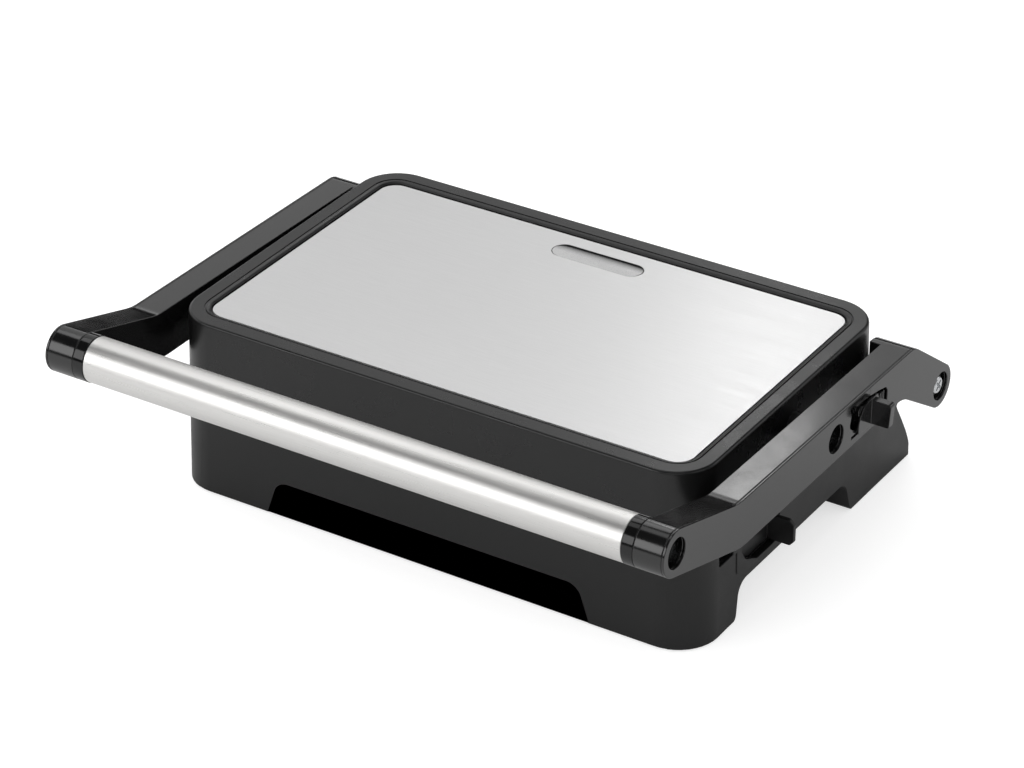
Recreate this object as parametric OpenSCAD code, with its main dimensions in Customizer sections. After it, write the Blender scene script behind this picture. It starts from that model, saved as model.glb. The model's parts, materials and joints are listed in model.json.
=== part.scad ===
// Contact grill (panini press): a base and a lid, each with a ribbed plate, joined by two
// side arms that swing about the rear hinge and carry a cross bar as the handle.
// Drawn closed, with x = 0 on the middle plane, y = 0 on the lid's centre and z = 0 on the
// table; placed() then moves everything so that the origin is the middle of its footprint.

/* [Lid and base housings] */
// Width of the lid's top ring
lid_w = 253.8; // [252:0.2:254]
// Depth of the lid
lid_d = 162.1; // [161:0.1:163]
// Height of the lid's top ring above the table
lid_top = 83.7; // [83.5:0.1:85]
// Radius of the housings' upright corners
corner_r = 19; // [14:1:22]
// Outward lean of the side walls, in millimetres for each millimetre down
flare = 0.031; // [0.02:0.001:0.035]
// Thickness of the moulded walls
wall = 2.6; // [2:0.1:2.8]
// Height of the line where lid and base meet
seam_z = 48; // [47.8:0.1:48.2]
// Gap left between the lid's and the base's rims
seam_gap = 0.8; // [0.7:0.1:1.2]
// How far back the base reaches at the table
base_back = 109; // [108.5:0.5:111]

/* [Feet] */
// Clear height under the front and rear walls
front_arch_h = 17.2; // [12:0.2:17.4]
// Clear height under the side walls
side_arch_h = 16.8; // [13:0.2:17.4]
// Half the distance between the two front feet
foot_inner_x = 78.6; // [77:0.2:81]
// Radius of a rubber foot pad
pad_r = 8; // [6:0.5:9]

/* [Top panel and lamp window] */
// Width of the steel top panel
panel_w = 233.6; // [230:0.2:234]
// Depth of the steel top panel
panel_d = 140.8; // [138:0.2:141]
// Corner radius of the steel top panel
panel_r = 8; // [6:0.5:10]
// How deep the panel lies below the ring
panel_drop = 1.3; // [1:0.1:1.6]
// Length of the lamp window
window_l = 44.5; // [36:0.5:50]
// Width of the lamp window
window_w = 11; // [9:0.5:12]
// Distance of the lamp window behind the lid's centre
window_y = 56.7; // [52:0.1:58]

/* [Arms, hinge and handle] */
// Width over the outer faces of the arms
arms_w = 295; // [295:0.5:297]
// Width of one arm, across the press
arm_t = 13.9; // [13.5:0.1:14]
// Distance of the rear hinge behind the lid's centre
hinge_y = 96.4; // [96:0.1:97]
// Height of the rear hinge above the table
hinge_z = 45.9; // [45.6:0.1:46.4]
// Height of the lid's pivot above the table
pivot_z = 68.7; // [68:0.1:69.5]
// Distance of the handle bar in front of the lid's centre
bar_y = 129.5; // [128:0.5:131]
// Height of the handle bar above the table
bar_z = 84.4; // [84:0.1:84.8]
// Diameter of the handle tube
bar_d = 19.9; // [19:0.1:20.2]

/* [Grill plates] */
// Width of a grill plate
plate_w = 232; // [228:1:232]
// Depth of a grill plate
plate_d = 146; // [142:1:146]
// Number of ribs on a grill plate
rib_count = 23; // [17:1:25]
// Height of a rib
rib_h = 3.6; // [2:0.2:3.6]

/* [Hidden] */

// Angle spanned by one facet of a rounded outline
arc_step = 9;
$fn = 48;

// Housings
base_rim = seam_z - seam_gap / 2;
lid_rim = seam_z + seam_gap / 2;
front_y = -lid_d / 2;
lid_back = lid_d / 2;
rear_corner_r = 3;
edge_r = 1.3;
shell_low = 0.6;
floor_top = 20.2;
plate_gap = 1;

// Arms
arm_out = arms_w / 2;
arm_in = arm_out - arm_t;
cover_t = 1.2;
cover_in = arm_out - cover_t;
boss_r = 10.2;
boss_hole_r = 6.54;
pivot_hole_r = 6.25;
sink_r = 6.4;
tail_r = 9.8;
hinge_boss_r = 8.6;
face_gap = 0.4;

// Hinge and pivot fits: radius of the pin, and of the hole that turns on it
hinge_pin_r = 3;
pivot_pin_r = 2.5;
running = 0.05;
bush_r = 4;

// Release slider on the right arm and lock slider on the base
release_tip = 157.9;
release_travel = 5;
release_front = 13.6 + release_travel;
lock_tip = 137.7;
lock_travel = 11;

// Middle of the finished press's footprint, which becomes the origin
mid_x = (release_tip - arm_out) / 2;
mid_y = (base_back - bar_y - boss_r) / 2;

// Screw places shared by both grill plates
plate_screws = [[-58, -56], [58, -56], [-58, 56], [58, 56]];

// Colours
black_gloss = [0.07, 0.07, 0.075];
black_satin = [0.11, 0.11, 0.115];
steel = [0.80, 0.80, 0.79];
dark_cast = [0.16, 0.16, 0.17];
zinc = [0.66, 0.67, 0.68];

// ---------------------------------------------------------------- helpers

function unit(v) = v / norm(v);
function wrap(a) = a > 180 ? a - 360 : (a < -180 ? a + 360 : a);

// Points that replace the corner b of the path a-b-c by an arc of radius r
function corner_arc(a, b, c, r) =
    let (u = unit(a - b), v = unit(c - b),
         half = acos(max(-1, min(1, u * v))) / 2,
         centre = b + unit(u + v) * r / sin(half),
         p = b + u * r / tan(half) - centre,
         q = b + v * r / tan(half) - centre,
         start = atan2(p[1], p[0]),
         sweep = wrap(atan2(q[1], q[0]) - start),
         steps = max(1, ceil(abs(sweep) / arc_step)))
    [for (i = [0 : steps]) centre + r * [cos(start + sweep * i / steps),
                                         sin(start + sweep * i / steps)]];

// Closed outline from corners [x, y, radius]
function rounded(pts) =
    let (n = len(pts), at = function (i) [pts[(i + n) % n][0], pts[(i + n) % n][1]])
    [for (i = [0 : n - 1])
        each pts[i][2] > 0 ? corner_arc(at(i - 1), at(i), at(i + 1), pts[i][2]) : [at(i)]];

// Half the housings' width at height z
function half_w(z) = lid_w / 2 + flare * (lid_top - z);

module placed() { translate([-mid_x, -mid_y, 0]) children(); }

// Extrude a (y, z) outline from x0 to x1, or an (x, z) outline from y0 to y1
module along_x(x0, x1) { translate([x0, 0, 0]) rotate([90, 0, 90]) linear_extrude(x1 - x0) children(); }
module along_y(y0, y1) { translate([0, y1, 0]) rotate([90, 0, 0]) linear_extrude(y1 - y0) children(); }

module rod_x(x0, x1, y, z, r) { translate([x0, y, z]) rotate([0, 90, 0]) cylinder(r = r, h = x1 - x0); }
module box(low, high) { translate(low) cube(high - low); }
module both_sides() {
    children();
    mirror([1, 0, 0]) children();
}

// Rounded rectangle, w wide, from y0 to y1
module plan(w, y0, y1, rf, rb) {
    polygon(rounded([[-w / 2, y0, rf], [w / 2, y0, rf], [w / 2, y1, rb], [-w / 2, y1, rb]]));
}
module centred_plan(w, d, r) { plan(w, -d / 2, d / 2, r, r); }

module stadium(l, w) {
    translate([-(l - w) / 2, 0]) circle(d = w);
    translate([(l - w) / 2, 0]) circle(d = w);
    square([l - w, w], center = true);
}

// Cross-shaped recess for a screwdriver, cut downwards from z = 0
module cross_recess(size) {
    for (turn = [45, 135]) {
        rotate([0, 0, turn]) translate([0, 0, -0.5]) cube([size, size * 0.22, 1.2], center = true);
    }
}

// Pan-head screw along -Z, with the underside of its head at z = 0
module pan_screw(shank_r, length, head_r, head_h) {
    difference() {
        union() {
            translate([0, 0, -length]) cylinder(r = shank_r, h = length);
            cylinder(r = head_r, h = head_h - 0.6);
            translate([0, 0, head_h - 0.6]) cylinder(r1 = head_r, r2 = head_r - 0.7, h = 0.6);
        }
        translate([0, 0, head_h]) cross_recess(head_r * 1.3);
    }
}

// ---------------------------------------------------------------- base housing

// The back wall of the base: upright at the rim, sweeping out towards the feet
rim_back = base_back - 22.5;
back_profile = [[base_back, 0], [base_back - 1.5, 6], [base_back - 5, 14], [base_back - 9.5, 22],
                [base_back - 14.3, 30], [base_back - 20.1, 39], [rim_back, seam_z]];

module base_envelope(z0, z1, inset) {
    intersection() {
        hull() {
            for (z = [z0, z1 - 0.1]) {
                translate([0, 0, z]) linear_extrude(0.1)
                    plan(2 * (half_w(z) - inset), front_y + inset, base_back - inset,
                         corner_r - inset, rear_corner_r - inset);
            }
        }
        along_x(-arm_out, arm_out)
            polygon(rounded(concat(
                [[front_y + inset, -2, 0], [base_back - inset, -2, 0]],
                [for (p = back_profile) [p[0] - inset, p[1], 9]],
                [[rim_back - inset, seam_z + 5, 0], [front_y + inset, seam_z + 5, 0]])));
    }
}

// Opening between two feet, from a to b at the table, with rounded corners above and below
function arch(a, b, lean_a, lean_b, high) =
    rounded([[a - 14, -2, 0], [a - 14, 0.2, 0], [a, 0.3, 3.5], [a + lean_a, high, 7],
             [b - lean_b, high, 7], [b, 0.3, 3.5], [b + 14, 0.2, 0], [b + 14, -2, 0]]);

// Openings between the feet, seen from the front and from the side
front_arch = arch(-foot_inner_x, foot_inner_x, 4, 4, front_arch_h);
side_arch = arch(-47, 52.4, 3, 4.9, side_arch_h);

// Band round the plate opening, used for the lid's tongue and the groove it drops into
module seam_band(inner, outer) {
    difference() {
        centred_plan(plate_w + 2 * outer, plate_d + 2 * outer, 10 + outer);
        centred_plan(plate_w + 2 * inner, plate_d + 2 * inner, 10 + inner);
    }
}

module base_rooms() {
    intersection() {
        base_envelope(shell_low, base_rim + 1, wall);
        union() {
            // main room between floor and deck
            box([-arm_out, -100, floor_top], [arm_out, 120, base_rim - wall]);
            // hollow legs
            both_sides() {
                box([foot_inner_x + 3.5, -100, 4.6], [arm_out, -50.5, floor_top + 1]);
                box([foot_inner_x + 3.5, 57, 4.6], [arm_out, 120, floor_top + 1]);
            }
        }
    }
}

// Wall openings around the lock slider, on the right-hand side: the slot of the tab, with a
// sloping front end, and a pocket in front of it
lock_slot_y = [-42, -10.5];
lock_slot_z = [21, 35];
lock_slot = [[lock_slot_y[0], lock_slot_z[1], 0], [lock_slot_y[0], 30.6, 0.8], [-38.9, 25.7, 2],
             [-29.3, lock_slot_z[0], 1.5], [lock_slot_y[1], lock_slot_z[0], 0.8],
             [lock_slot_y[1], lock_slot_z[1], 0]];
lock_pocket = [[-60.5, 40, 0], [-60.5, 33.2, 0.8], [-49, 33.2, 0.8], [-49, 40, 0]];

module base_shell() {
    color(black_satin) placed() difference() {
        union() {
            difference() {
                base_envelope(shell_low, base_rim, 0);
                base_rooms();
                translate([0, 0, base_rim - wall - 1]) linear_extrude(wall + 2)
                    centred_plan(plate_w + 2 * plate_gap, plate_d + 2 * plate_gap, 11);
            }
            // screw bosses for the plate
            for (p = plate_screws) {
                translate([p[0], p[1], floor_top - 0.5]) cylinder(r = 5, h = 15.3);
            }
            // posts for the cord clamp
            for (p = clamp_screw_places) {
                translate([p[0], p[1], floor_top - 0.5]) cylinder(r = 3.2, h = clamp_low - floor_top + 0.5);
            }
            // bosses for the bottom cover's screws
            for (p = cover_screw_places) {
                translate([p[0], p[1], floor_top - 0.5]) cylinder(r = 3.5, h = 6.3);
            }
            both_sides() {
                // stalk that carries the hinge
                along_x(half_w(hinge_z) - wall - 1.2, half_w(hinge_z))
                    polygon(rounded([[80, 36, 0], [80, base_rim, 0], [87.5, base_rim, 2],
                                     [87.5, hinge_z + tail_r, 8], [hinge_y + tail_r, hinge_z + tail_r, 9],
                                     [hinge_y + tail_r, 41, 7], [94, 29, 0]]));
                rod_x(122, arm_in - face_gap, hinge_y, hinge_z, hinge_boss_r);
            }
            // seat for the cord gland
            along_y(86, 99) translate([gland_x, gland_z]) circle(r = 9.4);
        }
        // spaces between the feet
        along_x(-arm_out, arm_out) polygon(side_arch);
        along_y(-100, 120) polygon(front_arch);
        // opening and recess for the bottom cover
        translate([0, 6, floor_top - 5]) linear_extrude(6) centred_plan(132, 71, 5);
        translate([0, 6, front_arch_h - 3]) linear_extrude(cover_top - front_arch_h + 3)
            centred_plan(150.6, 89.8, 6.3);
        for (p = cover_screw_places) {
            translate([p[0], p[1], 17]) cylinder(r = 1.4, h = 8.3);
        }
        for (p = plate_screws) {
            translate([p[0], p[1], 16]) cylinder(r = 2.05, h = 20);
            translate([p[0], p[1], 16]) cylinder(r = 4.1, h = 3.5);
        }
        for (p = clamp_screw_places) {
            translate([p[0], p[1], clamp_low - 4]) cylinder(r = 1.4, h = 6);
        }
        // sockets for the foot pads
        for (p = foot_places) {
            translate([p[0], p[1], -1]) cylinder(r = pad_r, h = 4);
        }
        // groove for the lid's tongue
        translate([0, 0, base_rim - 1.5]) linear_extrude(3) seam_band(1.9, 4.3);
        // hinge bores
        both_sides() rod_x(121, arm_out, hinge_y, hinge_z, hinge_pin_r);
        // bore for the cord gland
        along_y(80, 110) translate([gland_x, gland_z]) circle(r = 6);
        // slot that the lock tab runs in, the pocket in front of it and the slit between them
        along_x(120.5, arm_out) polygon(rounded(lock_slot));
        along_x(120.5, arm_out) polygon(rounded(lock_pocket));
        box([120.5, -46.9, 22.7], [arm_out, -46.1, 32.4]);
        // passage for the lid's lock hook
        box([118.3, -66.3, base_rim - wall - 1], [122.3, -48.2, base_rim + 1]);
    }
}

// ---------------------------------------------------------------- base fittings

cover_top = 19;
cover_screw_places = [[-70.6, -33], [70.6, -33], [-70.6, 45], [70.6, 45]];
foot_places = [[-105, -62], [105, -62], [-105, 84], [105, 84]];
gland_x = -52;
gland_z = 31;
clamp_y = 72.5;
clamp_low = 29;
clamp_high = 36.6;
clamp_screw_places = [[gland_x - 9, clamp_y], [gland_x + 9, clamp_y]];
pole_x = [11, 23, 35];

module base_cover() {
    color(black_satin) placed() difference() {
        translate([0, 6, front_arch_h]) linear_extrude(cover_top - front_arch_h)
            centred_plan(150, 89.2, 6);
        // cooling slots
        for (row = [-1, 1], column = [-3 : 3]) {
            translate([column * 15, 6 + row * 18, front_arch_h - 1])
                linear_extrude(4) rotate([0, 0, 90]) stadium(24, 3.4);
        }
        for (p = cover_screw_places) {
            translate([p[0], p[1], front_arch_h - 1]) cylinder(r = 1.7, h = 4);
        }
    }
}

module cover_screws() {
    color(zinc) placed() for (p = cover_screw_places) {
        translate([p[0], p[1], front_arch_h]) mirror([0, 0, 1]) pan_screw(1.4, 7.5, 2.8, 1.6);
    }
}

module foot_pads() {
    color([0.09, 0.09, 0.09]) placed() for (p = foot_places) {
        translate([p[0], p[1], 0]) {
            cylinder(r1 = pad_r - 0.8, r2 = pad_r, h = 0.8);
            translate([0, 0, 0.8]) cylinder(r = pad_r, h = 2.2);
        }
    }
}

// Bush that lines the cord's opening in the back wall
module cord_gland() {
    color(black_satin) placed() difference() {
        union() {
            along_y(84, 99) translate([gland_x, gland_z]) circle(r = 6);
            along_y(99, 101.5) translate([gland_x, gland_z]) circle(r = 8.4);
            along_y(83.5, 86) translate([gland_x, gland_z]) circle(r = 7);
        }
        along_y(80, 103) translate([gland_x, gland_z]) circle(r = 3.7);
    }
}

// Strap that holds the cord down between two posts of the base
module cord_clamp() {
    color(zinc) placed() difference() {
        box([gland_x - 12.6, clamp_y - 4.5, clamp_low], [gland_x + 12.6, clamp_y + 4.5, clamp_high]);
        along_y(clamp_y - 6, clamp_y + 6) translate([gland_x, gland_z]) circle(r = 3.7);
        box([gland_x - 3.7, clamp_y - 6, clamp_low - 1], [gland_x + 3.7, clamp_y + 6, gland_z]);
        for (p = clamp_screw_places) {
            translate([p[0], p[1], clamp_low - 1]) cylinder(r = 1.7, h = 12);
        }
    }
}

module clamp_screws() {
    color(zinc) placed() for (p = clamp_screw_places) {
        translate([p[0], p[1], clamp_high]) pan_screw(1.4, 11, 2.8, 1.6);
    }
}

module terminal_block() {
    color([0.85, 0.84, 0.8]) placed() difference() {
        box([4, 68, floor_top], [42, 84, floor_top + 13]);
        for (x = pole_x) {
            translate([x, 76, floor_top + 6]) cylinder(r = 2.4, h = 10);
            along_y(66, 86) translate([x, floor_top + 4.5]) circle(r = 1.9);
        }
    }
}

module terminal_screws() {
    color(zinc) placed() for (x = pole_x) {
        translate([x, 76, floor_top + 7]) difference() {
            cylinder(r = 2.3, h = 4);
            translate([0, 0, 4]) cross_recess(3.2);
        }
    }
}

// ---------------------------------------------------------------- heated plates
// A plate and its fittings are drawn for the base, with z = 0 on the seam; the lid's are
// the same pieces mirrored.

web_top = -4.2;
web_under = -7.2;
plate_boss_low = -12.5;
element_r = 3.2;
element_z = web_under - element_r;
element_y = 34;
shield_z = -17;

module in_base() { placed() translate([0, 0, seam_z]) children(); }
module in_lid() { placed() translate([0, 0, seam_z]) mirror([0, 0, 1]) children(); }

module grill_plate() {
    rim_w = 3;
    pitch = (plate_w - 26) / (rib_count - 1);
    difference() {
        union() {
            difference() {
                translate([0, 0, web_under]) linear_extrude(-plate_gap - web_under)
                    centred_plan(plate_w, plate_d, 10);
                translate([0, 0, web_top]) linear_extrude(10)
                    centred_plan(plate_w - 2 * rim_w, plate_d - 2 * rim_w, 7);
            }
            // ribs that mark the bread
            for (i = [0 : rib_count - 1]) {
                translate([(i - (rib_count - 1) / 2) * pitch, 0, 0]) along_y(-63, 63)
                    polygon([[-2.6, web_top - 0.1], [2.6, web_top - 0.1], [1.1, web_top + rib_h],
                             [-1.1, web_top + rib_h]]);
            }
            for (p = plate_screws) {
                translate([p[0], p[1], plate_boss_low]) cylinder(r = 5, h = web_under - plate_boss_low + 0.5);
            }
        }
        for (p = plate_screws) {
            translate([p[0], p[1], plate_boss_low - 1]) cylinder(r = 2, h = 6.2);
        }
    }
}

// Tubular element bent into a U, with a cold pin at each end
module heating_element() {
    bend_x = 52;
    end_x = -88;
    for (side = [-1, 1]) {
        rod_x(end_x, bend_x, side * element_y, element_z, element_r);
        rod_x(end_x - 14, end_x, side * element_y, element_z, 1.4);
    }
    translate([bend_x, 0, element_z]) intersection() {
        rotate_extrude() translate([element_y, 0]) circle(r = element_r);
        box([0, -60, -10], [60, 60, 10]);
    }
}

// Straps that press the element against the plate
module element_clamps() {
    for (x = [-70, -10, 40], side = [-1, 1]) {
        translate([0, side * element_y, 0]) along_x(x - 6, x + 6)
            polygon([[-11, web_under], [-11, web_under - 1], [-5.2, web_under - 1],
                     [-4.4, web_under - 7.4], [4.4, web_under - 7.4], [5.2, web_under - 1],
                     [11, web_under - 1], [11, web_under], [4.2, web_under],
                     [3.4, web_under - 6.4], [-3.4, web_under - 6.4], [-4.2, web_under]]);
    }
}

// Sheet-steel tray that keeps the heat off the housing
module heat_shield() {
    sheet = 0.8;
    difference() {
        translate([0, 0, shield_z]) linear_extrude(7) centred_plan(214, 132, 9);
        translate([0, 0, shield_z + sheet]) linear_extrude(8)
            centred_plan(214 - 2 * sheet, 132 - 2 * sheet, 9 - sheet);
        for (p = plate_screws) {
            translate([p[0], p[1], shield_z - 1]) cylinder(r = 5.6, h = 3);
        }
        translate([-15, 0, shield_z - 1]) cylinder(r = 11, h = 3);
    }
}

// Bimetal disc thermostat with its mounting ears and two blade terminals
module thermostat() {
    translate([-15, 0, 0]) {
        translate([0, 0, web_under - 7]) cylinder(r = 8.2, h = 7);
        box([-15, -3.5, web_under - 1.2], [15, 3.5, web_under]);
        for (side = [-1, 1]) {
            box([side * 4.5 - 0.4, -3.1, web_under - 15], [side * 4.5 + 0.4, 3.1, web_under - 6.9]);
        }
    }
}

module plate_screw_set() {
    for (p = plate_screws) {
        translate([p[0], p[1], -28.6]) mirror([0, 0, 1]) pan_screw(2, 20.9, 3.6, 1.9);
    }
}

module lower_grill_plate() { color(dark_cast) in_base() grill_plate(); }
module lower_heating_element() { color(zinc) in_base() heating_element(); }
module lower_element_clamps() { color(zinc) in_base() element_clamps(); }
module lower_heat_shield() { color(steel) in_base() heat_shield(); }
module lower_thermostat() { color([0.75, 0.72, 0.65]) in_base() thermostat(); }
module lower_plate_screws() { color(zinc) in_base() plate_screw_set(); }

module upper_grill_plate() { color(dark_cast) in_lid() grill_plate(); }
module upper_heating_element() { color(zinc) in_lid() heating_element(); }
module upper_element_clamps() { color(zinc) in_lid() element_clamps(); }
module upper_heat_shield() { color(steel) in_lid() heat_shield(); }
module upper_thermostat() { color([0.75, 0.72, 0.65]) in_lid() thermostat(); }
module upper_plate_screws() {
    color(zinc) placed() for (p = plate_screws) {
        translate([p[0], p[1], deck_top - 2]) pan_screw(2, 23.5, 3.6, 1.9);
    }
}

// One-shot fuse in its ceramic sleeve, under the lower plate
module thermal_fuse() {
    color([0.9, 0.88, 0.8]) in_base() {
        rod_x(14, 32, 0, web_under - 3, 3);
        rod_x(7, 14, 0, web_under - 3, 0.6);
        rod_x(32, 39, 0, web_under - 3, 0.6);
    }
}

// ---------------------------------------------------------------- lock on the right side

lock_carrier_x = [122.4, 125.3];
lock_tab_y = [-15, -13];

// Channel inside the base that the lock's carrier runs in
module lock_guide() {
    color(black_satin) placed() difference() {
        box([118.6, -65, floor_top], [lock_carrier_x[1] + 0.3, 4, floor_top + 2.8]);
        box([lock_carrier_x[0] - 0.3, -75, floor_top + 1], [lock_carrier_x[1] + 1, 5, floor_top + 3]);
    }
}

module lock_slider() {
    color(black_satin) placed() {
        // carrier behind the wall, long enough to close the openings
        box([lock_carrier_x[0], -54.5, floor_top + 1.4],
            [lock_carrier_x[1], lock_slot_y[1] + lock_travel + 1.5, 38]);
        // finger that slides over the lid's hook
        box([118.9, -49, 34.5], [lock_carrier_x[0] + 0.1, -42, 38]);
        // thumb tab, with a rib behind its root
        along_y(lock_tab_y[0], lock_tab_y[1])
            polygon(rounded([[lock_carrier_x[1] - 0.1, 21.6, 0], [lock_tip - 1.8, 21.6, 1],
                             [lock_tip, 23.6, 1], [lock_tip, 31.6, 1.2],
                             [lock_tip - 2.4, 33.6, 1.2], [lock_carrier_x[1] - 0.1, 33.6, 0]]));
        box([lock_carrier_x[1] - 0.1, lock_tab_y[1] - 0.1, 26], [lock_carrier_x[1] + 5, -11.4, 29]);
    }
}

// Leaf spring under the carrier that holds the lock in place
module lock_detent_spring() {
    color(zinc) placed() along_y(-36, -30)
        polygon([[100, floor_top], [116, floor_top], [120.2, floor_top + 7], [122, floor_top + 7],
                 [122, floor_top + 7.5], [119.9, floor_top + 7.5], [115.7, floor_top + 0.5],
                 [100, floor_top + 0.5]]);
}

// ---------------------------------------------------------------- arms and handle

// Slopes of the arm's front and middle stretches
front_slope = 0.295;
bar_at = [-bar_y, bar_z];
boss_turn = atan(front_slope);
// The straight edges start just inside the round ends, so that they cross them cleanly
boss_edge = (boss_r - 0.03) * [sin(boss_turn), cos(boss_turn)];
tail_edge = tail_r - 0.03;

// Side view of an arm: handle boss, sloping front, straight middle and falling tail
module arm_outline() {
    translate(bar_at) circle(r = boss_r);
    translate([hinge_y, hinge_z]) circle(r = tail_r);
    polygon(rounded([
        concat(bar_at - boss_edge, [0]),
        [-78.5, 58.8, 25],
        [60.5, 57.7, 20],
        [hinge_y - tail_edge * 0.58, hinge_z - tail_edge * 0.815, 0],
        [hinge_y + tail_edge * 0.6, hinge_z + tail_edge * 0.8, 0],
        [69.6, 77.8, 12],
        [-81.4, 80.7, 25],
        concat(bar_at + boss_edge, [0])
    ]));
}

// Where the right arm is cut open for the release slider
release_window = [[11.6, 76.9, 0.8], [24, 76.7, 1], [28, 74.6, 2], [36.5, 73.2, 0], [43.5, 71.6, 1],
                  [45, 69.4, 1], [45, 64.4, 1.5], [16.4, 64.4, 0.8], [12.2, 67.3, 2], [12, 69, 1],
                  [13.2, 73.2, 0.6]];

// Holes common to both arms
module arm_holes() {
    rod_x(arm_in + 5.4, arm_out + 1, bar_at[0], bar_at[1], boss_hole_r);
    rod_x(arm_in - 1, arm_out, bar_at[0], bar_at[1], 2.6);
    rod_x(arm_in + 4.2, arm_out + 1, 0, pivot_z, pivot_hole_r);
    rod_x(arm_in - 1, arm_out, 0, pivot_z, pivot_pin_r + running);
    rod_x(arm_in + 10.3, arm_out + 1, hinge_y, hinge_z, sink_r);
    rod_x(arm_in - 1, arm_out, hinge_y, hinge_z, bush_r);
}

clip_places = [[-92, 73], [-8, 69], [56, 68]];

// Block on the inner face of an arm, just above the hinge
shoulder = [[64, 61, 0], [64, 90, 0], [84, 90, 0], [84, 61, 0]];
shoulder_t = 5;

module arm_body() {
    difference() {
        union() {
            along_x(arm_in, cover_in) arm_outline();
            intersection() {
                along_x(arm_in - shoulder_t, arm_in + 1) arm_outline();
                along_x(arm_in - shoulder_t, arm_in + 1) polygon(rounded(shoulder));
            }
        }
        arm_holes();
        // hollows that the cover closes
        along_x(arm_in + 2.4, cover_in + 1)
            polygon(rounded([[-86, 65, 3], [-75, 61.6, 3], [-12, 61, 3], [-12, 76.3, 3],
                             [-79, 77.4, 3], [-86, 79, 3]]));
        for (p = clip_places) {
            rod_x(cover_in - 4, cover_in + 1, p[0], p[1], 1.5);
        }
    }
}

module arm_body_left() {
    color(black_gloss) placed() mirror([1, 0, 0]) difference() {
        arm_body();
        along_x(arm_in + 2.4, cover_in + 1)
            polygon(rounded([[11, 60.8, 3], [50, 60.8, 3], [50, 75.2, 3], [11, 75.8, 3]]));
    }
}

module arm_body_right() {
    color(black_gloss) placed() difference() {
        arm_body();
        // chamber of the release slider
        along_x(arm_in + 6.6, cover_in + 1)
            polygon(rounded([[11, 60.8, 2], [50, 60.8, 2], [50, 76.8, 2], [11, 77, 2]]));
    }
}

module arm_cover() {
    difference() {
        along_x(cover_in, arm_out) arm_outline();
        arm_holes();
    }
}

module arm_cover_left() { color(black_gloss) placed() mirror([1, 0, 0]) arm_cover(); }

module arm_cover_right() {
    color(black_gloss) placed() difference() {
        arm_cover();
        along_x(cover_in - 1, arm_out + 1) polygon(rounded(release_window));
        // slit below the window
        box([cover_in - 1, 13.6, 61.4], [arm_out + 1, 29, 62.5]);
    }
}

// Pins that hold the covers on the arm bodies
module cover_clip_pins() {
    color(black_satin) placed() both_sides() for (p = clip_places) {
        rod_x(cover_in - 3.8, cover_in, p[0], p[1], 1.5);
    }
}

// Shoulder screws in the base; the arms turn on them with the bushes
module hinge_screws() {
    color(zinc) placed() both_sides() translate([arm_in + 10.6, hinge_y, hinge_z]) rotate([0, 90, 0])
        pan_screw(hinge_pin_r, 19, 4, 2.4);
}

module hinge_bushes() {
    color([0.72, 0.6, 0.35]) placed() both_sides() difference() {
        rod_x(arm_in, arm_in + 10.3, hinge_y, hinge_z, bush_r);
        rod_x(arm_in - 1, arm_out, hinge_y, hinge_z, hinge_pin_r + running);
    }
}

ferrule_l = 5.3;
tube_half = arm_in - ferrule_l;

module handle_tube() {
    color(steel) placed() difference() {
        rod_x(-tube_half, tube_half, bar_at[0], bar_at[1], bar_d / 2);
        rod_x(-tube_half - 1, tube_half + 1, bar_at[0], bar_at[1], bar_d / 2 - 1);
    }
}

module handle_ferrules() {
    color(black_gloss) placed() both_sides() difference() {
        union() {
            rod_x(tube_half, arm_in, bar_at[0], bar_at[1], boss_r);
            rod_x(tube_half - 9, tube_half, bar_at[0], bar_at[1], bar_d / 2 - 1);
        }
        rod_x(tube_half - 10, arm_in + 1, bar_at[0], bar_at[1], 3);
    }
}

module handle_tie_rod() {
    color(zinc) placed() difference() {
        rod_x(-arm_in, arm_in, bar_at[0], bar_at[1], 3);
        both_sides() rod_x(arm_in - 13, arm_in + 1, bar_at[0], bar_at[1], 1.9);
    }
}

module handle_screws() {
    color(zinc) placed() both_sides() translate([arm_in + 5.4, bar_at[0], bar_at[1]]) rotate([0, 90, 0])
        difference() {
            union() {
                pan_screw(1.9, 16, 4.6, 2.2);
                translate([0, 0, -5.4]) cylinder(r = 2.6, h = 5.4);
            }
            translate([0, 0, 2.2]) cross_recess(5.5);
        }
}

// ---------------------------------------------------------------- release on the right arm

module release_slider() {
    neck_in = arm_in + 7;
    plate_out = arm_out + 1.4;
    color(black_satin) placed() {
        // wings behind the cover
        along_x(neck_in, cover_in - face_gap)
            polygon(rounded([[release_front, 64, 2], [42, 64, 2], [42, 76.4, 2],
                             [release_front, 76.4, 2]]));
        // neck through the window
        along_x(neck_in, arm_out + 0.3)
            polygon(rounded([[release_front, 67, 1], [36, 67, 1], [36, 72.6, 0],
                             [release_front, 73.6, 2]]));
        // rounded plate on the arm's face
        along_x(arm_out + 0.3, plate_out)
            polygon(rounded([[17.2, 62.2, 0.8], [31.6, 61.6, 2], [31.6, 74.2, 2.5], [17.2, 74.2, 9]]));
        // thumb tab
        along_y(28, 31.6)
            polygon(rounded([[plate_out - 0.1, 62.2, 0], [release_tip - 0.8, 62.2, 1],
                             [release_tip, 73.6, 1.6], [plate_out - 0.1, 73.6, 0]]));
        // grip ribs behind the tab
        for (rib = [0 : 3]) {
            along_x(arm_out - 1.6, arm_out + 0.3)
                polygon([[36 + 1.5 * rib, 66.8], [36.8 + 1.5 * rib, 66.8],
                         [36.8 + 1.5 * rib, 71.6], [36 + 1.5 * rib, 71.6]]);
        }
        along_x(neck_in, arm_out - 1.5)
            polygon([[35.9, 66.8], [41.3, 66.8], [41.3, 71.6], [35.9, 71.6]]);
    }
}

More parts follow.
